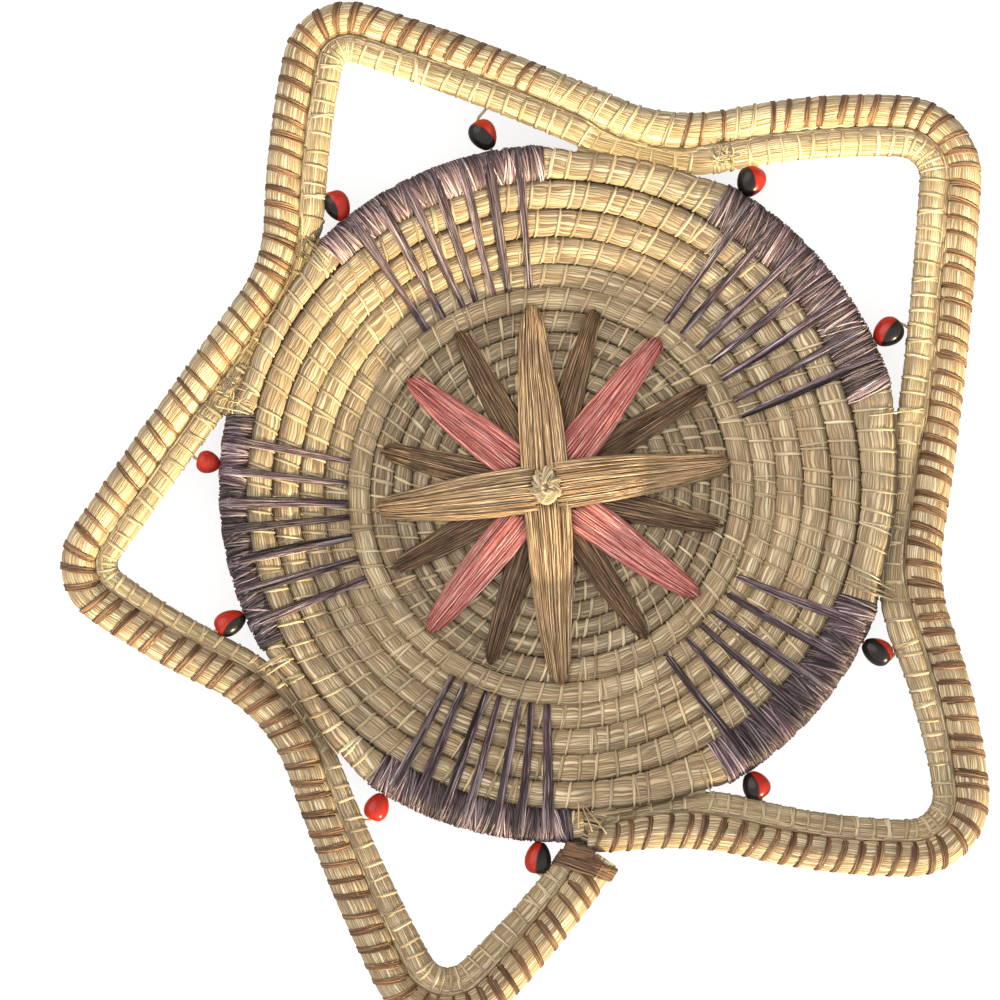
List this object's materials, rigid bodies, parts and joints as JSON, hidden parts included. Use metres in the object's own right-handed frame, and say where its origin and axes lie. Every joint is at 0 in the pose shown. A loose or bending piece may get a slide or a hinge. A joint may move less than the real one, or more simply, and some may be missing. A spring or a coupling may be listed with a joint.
{
  "type": "coiled basket",
  "caption": "Shallow coiled grass wall basket with a five-pointed star border of coil, raffia petals on its floor, wrapped rim sections and seeds in the star's loops",
  "frame": {"origin": "on the ground under the middle of the basket's bounding box, at the height of the flat base ring", "axes": "+Z is up out of the dish's mouth; +Y is up and +X is right in the picture"},
  "size_m": [0.3048, 0.3384, 0.0328],
  "materials": {
    "grass_coil": "matte dry grass",
    "border_coil": "matte dry grass under brown raffia stitches",
    "brown_raffia": "satin raffia",
    "purple_raffia": "satin raffia",
    "tan_raffia": "satin raffia",
    "pink_raffia": "satin raffia",
    "seed": "glossy seed coat"
  },
  "bodies": {
    "root": {"coiled_dish": "grass_coil", "border_outer_coil": "border_coil", "border_inner_coil": "grass_coil", "end_binding": "brown_raffia", "purple_wrap_lower_right": "purple_raffia", "purple_wrap_upper_right": "purple_raffia", "purple_wrap_upper_left": "purple_raffia", "purple_wrap_left": "purple_raffia", "purple_wrap_bottom": "purple_raffia", "tan_petal_1": "tan_raffia", "tan_petal_2": "tan_raffia", "tan_petal_3": "tan_raffia", "tan_petal_4": "tan_raffia", "pink_petal_1": "pink_raffia", "pink_petal_2": "pink_raffia", "pink_petal_3": "pink_raffia", "pink_petal_4": "pink_raffia", "brown_petal_1": "brown_raffia", "brown_petal_2": "brown_raffia", "brown_petal_3": "brown_raffia", "brown_petal_4": "brown_raffia", "brown_petal_5": "brown_raffia", "brown_petal_6": "brown_raffia", "brown_petal_7": "brown_raffia", "brown_petal_8": "brown_raffia", "centre_knot": "grass_coil", "seed_lower_right_1": "seed", "seed_lower_right_2": "seed", "seed_upper_right_1": "seed", "seed_upper_right_2": "seed", "seed_upper_left_1": "seed", "seed_upper_left_2": "seed", "seed_left_1": "seed", "seed_left_2": "seed", "seed_bottom_1": "seed", "seed_bottom_2": "seed", "tie_lower_right_1": "grass_coil", "tie_lower_right_2": "grass_coil", "tie_upper_right_1": "grass_coil", "tie_upper_right_2": "grass_coil", "tie_upper_left_1": "grass_coil", "tie_upper_left_2": "grass_coil", "tie_left_1": "grass_coil", "tie_left_2": "grass_coil", "tie_bottom_1": "grass_coil", "tie_bottom_2": "grass_coil"}
  },
  "joints": []
}
